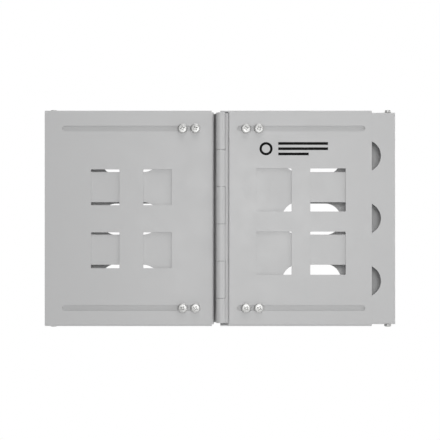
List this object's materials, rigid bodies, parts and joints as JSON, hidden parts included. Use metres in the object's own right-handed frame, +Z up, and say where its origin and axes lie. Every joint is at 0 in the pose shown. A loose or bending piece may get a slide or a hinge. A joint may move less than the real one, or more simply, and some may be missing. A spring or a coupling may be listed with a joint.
{
  "type": "fiber termination box",
  "caption": "Hinged pair of telescoping sheet-steel housings with clamp slots, cable ports and windows, holding fibre adapters and a splice cassette.",
  "frame": {"origin": "centre of the right half's four wall bolts, on the wall plane", "axes": "+X across the halves to the right, +Y back into the wall, +Z up along the hinge; the front faces -Y"},
  "size_m": [0.288, 0.0372, 0.1786],
  "materials": {
    "powder_coat": "fine-textured light grey powder coat",
    "zinc_steel": "bright zinc plate",
    "galvanised_sheet": "galvanised sheet",
    "brass_hardware": "plain brass",
    "adapter_plastic": "moulded blue",
    "cap_plastic": "milky soft plastic",
    "cassette_plastic": "moulded black",
    "clear_cover": "clear polycarbonate",
    "comb_rubber": "soft grey",
    "protector_plastic": "clear heat shrink"
  },
  "bodies": {
    "right_tray": {"right_tray": "powder_coat", "right_back_shell": "powder_coat", "right_clamp_screws": "zinc_steel", "right_clinch_nuts": "zinc_steel", "right_side_screws": "zinc_steel", "right_flush_screws": "zinc_steel", "adapter_bracket": "galvanised_sheet", "adapter_bracket_screws": "zinc_steel", "adapter_screws": "zinc_steel", "right_tie_bar_upper": "galvanised_sheet", "right_tie_bar_lower": "galvanised_sheet", "right_tie_bar_screws": "zinc_steel", "earth_stud": "zinc_steel", "earth_washer": "zinc_steel", "earth_nut": "brass_hardware", "sc_adapter_1": "adapter_plastic", "adapter_cap_inner_1": "cap_plastic", "adapter_cap_outer_1": "cap_plastic", "sc_adapter_2": "adapter_plastic", "adapter_cap_inner_2": "cap_plastic", "adapter_cap_outer_2": "cap_plastic", "sc_adapter_3": "adapter_plastic", "adapter_cap_inner_3": "cap_plastic", "adapter_cap_outer_3": "cap_plastic", "sc_adapter_4": "adapter_plastic", "adapter_cap_inner_4": "cap_plastic", "adapter_cap_outer_4": "cap_plastic", "sc_adapter_5": "adapter_plastic", "adapter_cap_inner_5": "cap_plastic", "adapter_cap_outer_5": "cap_plastic", "sc_adapter_6": "adapter_plastic", "adapter_cap_inner_6": "cap_plastic", "adapter_cap_outer_6": "cap_plastic"},
    "right_sleeve": {"right_sleeve": "powder_coat", "right_hinge_leaf": "powder_coat", "hinge_pin": "zinc_steel"},
    "left_sleeve": {"left_sleeve": "powder_coat", "left_hinge_leaf": "powder_coat"},
    "left_tray": {"left_tray": "powder_coat", "left_back_shell": "powder_coat", "left_clamp_screws": "zinc_steel", "left_clinch_nuts": "zinc_steel", "left_side_screws": "zinc_steel", "left_flush_screws": "zinc_steel", "splice_cassette": "cassette_plastic", "splice_cassette_cover": "clear_cover", "splice_cassette_screws": "zinc_steel", "splice_comb_upper": "comb_rubber", "splice_comb_lower": "comb_rubber", "splice_protectors": "protector_plastic", "left_tie_bar_upper": "galvanised_sheet", "left_tie_bar_lower": "galvanised_sheet", "left_tie_bar_screws": "zinc_steel"}
  },
  "joints": [
    {"name": "right_sleeve_slide", "type": "slide", "parent": "right_tray", "child": "right_sleeve", "axis": [-1, 0, 0], "range_m": [-0.0035, 0.0848]},
    {"name": "book_hinge", "type": "hinge", "parent": "right_sleeve", "child": "left_sleeve", "pos_m": [-0.075, -0.0334, 0], "axis": [0, 0, 1], "range_deg": [-8, 165]},
    {"name": "left_tray_slide", "type": "slide", "parent": "left_sleeve", "child": "left_tray", "axis": [-1, 0, 0], "range_m": [0, 0.0965]}
  ]
}
